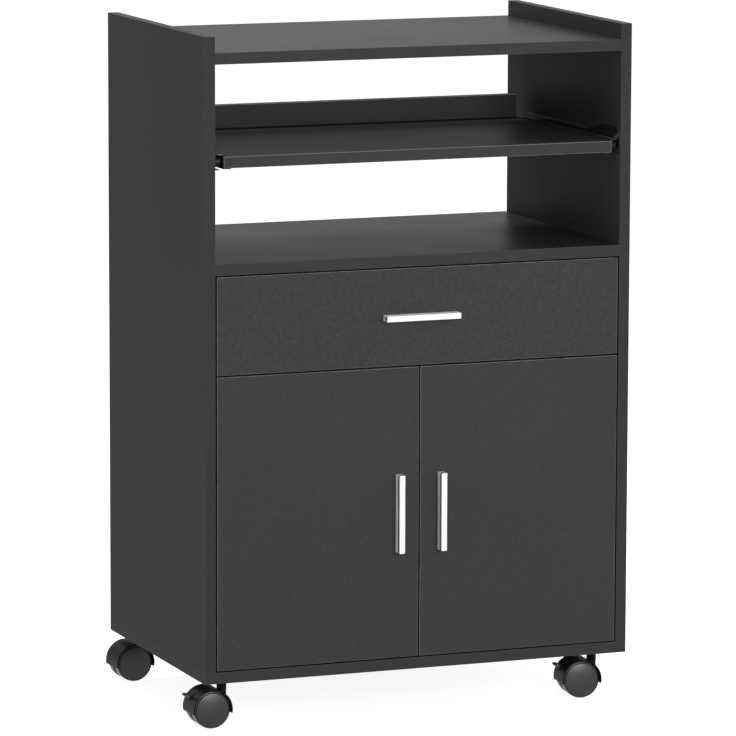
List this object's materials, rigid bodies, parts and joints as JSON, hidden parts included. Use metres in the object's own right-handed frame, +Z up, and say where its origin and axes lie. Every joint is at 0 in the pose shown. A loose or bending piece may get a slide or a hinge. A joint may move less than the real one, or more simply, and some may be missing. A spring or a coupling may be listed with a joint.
{
  "type": "kitchen cart",
  "caption": "Rolling kitchen cart: open top bays with a pull-out shelf, a drawer and a two-door cupboard on twin-wheel casters.",
  "frame": {"origin": "on the floor, under the middle of the case's width and depth", "axes": "+Z up, +Y from the fronts to the back, +X to the right seen from the front"},
  "size_m": [0.6207, 0.4, 0.91],
  "materials": {
    "board": "melamine-faced board, fine satin grain",
    "front_board": "melamine-faced board, fine pebbled grain",
    "thin_board": "thin faced fibreboard",
    "drawer_board": "faced board, satin",
    "black_steel": "black stove enamel, satin",
    "satin_aluminium": "satin anodised",
    "hinge_steel": "nickel-plated sheet steel",
    "plate_steel": "zinc-plated steel",
    "roller_plastic": "plain nylon",
    "caster_plastic": "moulded nylon, fine texture",
    "wheel_plastic": "moulded nylon, smooth",
    "catch_plastic": "moulded plastic"
  },
  "bodies": {
    "case": {"left_side_panel": "board", "right_side_panel": "board", "top_shelf": "board", "counter_panel": "board", "bottom_panel": "board", "back_panel": "thin_board", "front_stretcher": "board", "left_shelf_runner": "black_steel", "right_shelf_runner": "black_steel", "left_drawer_runner": "black_steel", "right_drawer_runner": "black_steel", "hinge_plates": "hinge_steel", "hinge_arms": "hinge_steel", "magnet_catch": "catch_plastic", "caster_plates": "plate_steel"},
    "shelf": {"pull_out_shelf": "board", "shelf_rear_rail": "board", "left_shelf_slide": "black_steel", "right_shelf_slide": "black_steel"},
    "drawer": {"drawer_front": "front_board", "left_drawer_side": "drawer_board", "right_drawer_side": "drawer_board", "drawer_back": "drawer_board", "drawer_bottom": "thin_board", "left_drawer_slide": "black_steel", "right_drawer_slide": "black_steel", "drawer_handle": "satin_aluminium"},
    "shelf_front_rollers": {"shelf_front_rollers": "roller_plastic"},
    "shelf_rear_rollers": {"shelf_rear_rollers": "roller_plastic"},
    "drawer_front_rollers": {"drawer_front_rollers": "roller_plastic"},
    "drawer_rear_rollers": {"drawer_rear_rollers": "roller_plastic"},
    "left_links": {"left_hinge_links": "hinge_steel"},
    "left_door": {"left_door": "front_board", "left_door_handle": "satin_aluminium", "left_door_hinge_cups": "hinge_steel", "left_door_strike_plate": "plate_steel"},
    "right_links": {"right_hinge_links": "hinge_steel"},
    "right_door": {"right_door": "front_board", "right_door_handle": "satin_aluminium", "right_door_hinge_cups": "hinge_steel", "right_door_strike_plate": "plate_steel"},
    "front_left_caster": {"front_left_caster_hood": "caster_plastic"},
    "front_left_outer_wheel": {"front_left_outer_wheel": "wheel_plastic"},
    "front_left_inner_wheel": {"front_left_inner_wheel": "wheel_plastic"},
    "front_left_brake": {"front_left_brake_lever": "caster_plastic"},
    "front_right_caster": {"front_right_caster_hood": "caster_plastic"},
    "front_right_outer_wheel": {"front_right_outer_wheel": "wheel_plastic"},
    "front_right_inner_wheel": {"front_right_inner_wheel": "wheel_plastic"},
    "front_right_brake": {"front_right_brake_lever": "caster_plastic"},
    "back_left_caster": {"back_left_caster_hood": "caster_plastic"},
    "back_left_outer_wheel": {"back_left_outer_wheel": "wheel_plastic"},
    "back_left_inner_wheel": {"back_left_inner_wheel": "wheel_plastic"},
    "back_right_caster": {"back_right_caster_hood": "caster_plastic"},
    "back_right_outer_wheel": {"back_right_outer_wheel": "wheel_plastic"},
    "back_right_inner_wheel": {"back_right_inner_wheel": "wheel_plastic"}
  },
  "joints": [
    {"name": "shelf_slide", "type": "slide", "parent": "case", "child": "shelf", "axis": [0, -1, 0], "range_m": [0, 0.24]},
    {"name": "drawer_slide", "type": "slide", "parent": "case", "child": "drawer", "axis": [0, -1, 0], "range_m": [0, 0.23]},
    {"name": "shelf_front_rollers_turn", "type": "hinge", "parent": "case", "child": "shelf_front_rollers", "pos_m": [0, -0.1775, 0.748], "axis": [1, 0, 0], "range_deg": [0, 1800]},
    {"name": "shelf_rear_rollers_turn", "type": "hinge", "parent": "shelf", "child": "shelf_rear_rollers", "pos_m": [0, 0.0995, 0.7455], "axis": [1, 0, 0], "range_deg": [0, 1800]},
    {"name": "drawer_front_rollers_turn", "type": "hinge", "parent": "case", "child": "drawer_front_rollers", "pos_m": [0, -0.1625, 0.4905], "axis": [1, 0, 0], "range_deg": [0, 1800]},
    {"name": "drawer_rear_rollers_turn", "type": "hinge", "parent": "drawer", "child": "drawer_rear_rollers", "pos_m": [0, 0.1145, 0.488], "axis": [1, 0, 0], "range_deg": [0, 1800]},
    {"name": "left_door_hinge", "type": "hinge", "parent": "left_links", "child": "left_door", "pos_m": [-0.275, -0.184, 0.274], "axis": [0, 0, -1], "range_deg": [0, 118]},
    {"name": "left_link_hinge", "type": "hinge", "parent": "case", "child": "left_links", "pos_m": [-0.255, -0.1735, 0.274], "axis": [0, 0, 1], "range_deg": [0, 28]},
    {"name": "right_door_hinge", "type": "hinge", "parent": "right_links", "child": "right_door", "pos_m": [0.275, -0.184, 0.274], "axis": [0, 0, 1], "range_deg": [0, 118]},
    {"name": "right_link_hinge", "type": "hinge", "parent": "case", "child": "right_links", "pos_m": [0.255, -0.1735, 0.274], "axis": [0, 0, -1], "range_deg": [0, 28]},
    {"name": "front_left_swivel", "type": "hinge", "parent": "case", "child": "front_left_caster", "pos_m": [-0.265, -0.1575, 0], "axis": [0, 0, 1], "continuous": true},
    {"name": "front_left_outer_wheel_spin", "type": "hinge", "parent": "front_left_caster", "child": "front_left_outer_wheel", "pos_m": [-0.284, -0.1575, 0.025], "axis": [0, 1, 0], "continuous": true},
    {"name": "front_left_inner_wheel_spin", "type": "hinge", "parent": "front_left_caster", "child": "front_left_inner_wheel", "pos_m": [-0.284, -0.1575, 0.025], "axis": [0, 1, 0], "continuous": true},
    {"name": "front_left_brake_press", "type": "hinge", "parent": "front_left_caster", "child": "front_left_brake", "pos_m": [-0.30035, -0.1575, 0.03562], "axis": [0, -1, 0], "range_deg": [0, 15]},
    {"name": "front_right_swivel", "type": "hinge", "parent": "case", "child": "front_right_caster", "pos_m": [0.265, -0.1575, 0], "axis": [0, 0, 1], "continuous": true},
    {"name": "front_right_outer_wheel_spin", "type": "hinge", "parent": "front_right_caster", "child": "front_right_outer_wheel", "pos_m": [0.2461, -0.15551, 0.025], "axis": [0.1045, 0.9945, 0], "continuous": true},
    {"name": "front_right_inner_wheel_spin", "type": "hinge", "parent": "front_right_caster", "child": "front_right_inner_wheel", "pos_m": [0.2461, -0.15551, 0.025], "axis": [0.1045, 0.9945, 0], "continuous": true},
    {"name": "front_right_brake_press", "type": "hinge", "parent": "front_right_caster", "child": "front_right_brake", "pos_m": [0.22984, -0.1538, 0.03562], "axis": [-0.1045, -0.9945, 0], "range_deg": [0, 15]},
    {"name": "back_left_swivel", "type": "hinge", "parent": "case", "child": "back_left_caster", "pos_m": [-0.265, 0.1575, 0], "axis": [0, 0, 1], "continuous": true},
    {"name": "back_left_outer_wheel_spin", "type": "hinge", "parent": "back_left_caster", "child": "back_left_outer_wheel", "pos_m": [-0.28397, 0.15651, 0.025], "axis": [-0.0523, 0.9986, 0], "continuous": true},
    {"name": "back_left_inner_wheel_spin", "type": "hinge", "parent": "back_left_caster", "child": "back_left_inner_wheel", "pos_m": [-0.28397, 0.15651, 0.025], "axis": [-0.0523, 0.9986, 0], "continuous": true},
    {"name": "back_right_swivel", "type": "hinge", "parent": "case", "child": "back_right_caster", "pos_m": [0.265, 0.1575, 0], "axis": [0, 0, 1], "continuous": true},
    {"name": "back_right_outer_wheel_spin", "type": "hinge", "parent": "back_right_caster", "child": "back_right_outer_wheel", "pos_m": [0.24605, 0.15882, 0.025], "axis": [0.0698, 0.9976, 0], "continuous": true},
    {"name": "back_right_inner_wheel_spin", "type": "hinge", "parent": "back_right_caster", "child": "back_right_inner_wheel", "pos_m": [0.24605, 0.15882, 0.025], "axis": [0.0698, 0.9976, 0], "continuous": true}
  ],
  "couplings": [
    {"joint": "shelf_front_rollers_turn", "follows": "shelf_slide", "rad_per_m": 129.87},
    {"joint": "shelf_rear_rollers_turn", "follows": "shelf_slide", "rad_per_m": 129.87},
    {"joint": "drawer_front_rollers_turn", "follows": "drawer_slide", "rad_per_m": 129.87},
    {"joint": "drawer_rear_rollers_turn", "follows": "drawer_slide", "rad_per_m": 129.87},
    {"joint": "left_link_hinge", "follows": "left_door_hinge", "ratio": 0.23729},
    {"joint": "right_link_hinge", "follows": "right_door_hinge", "ratio": 0.23729}
  ]
}
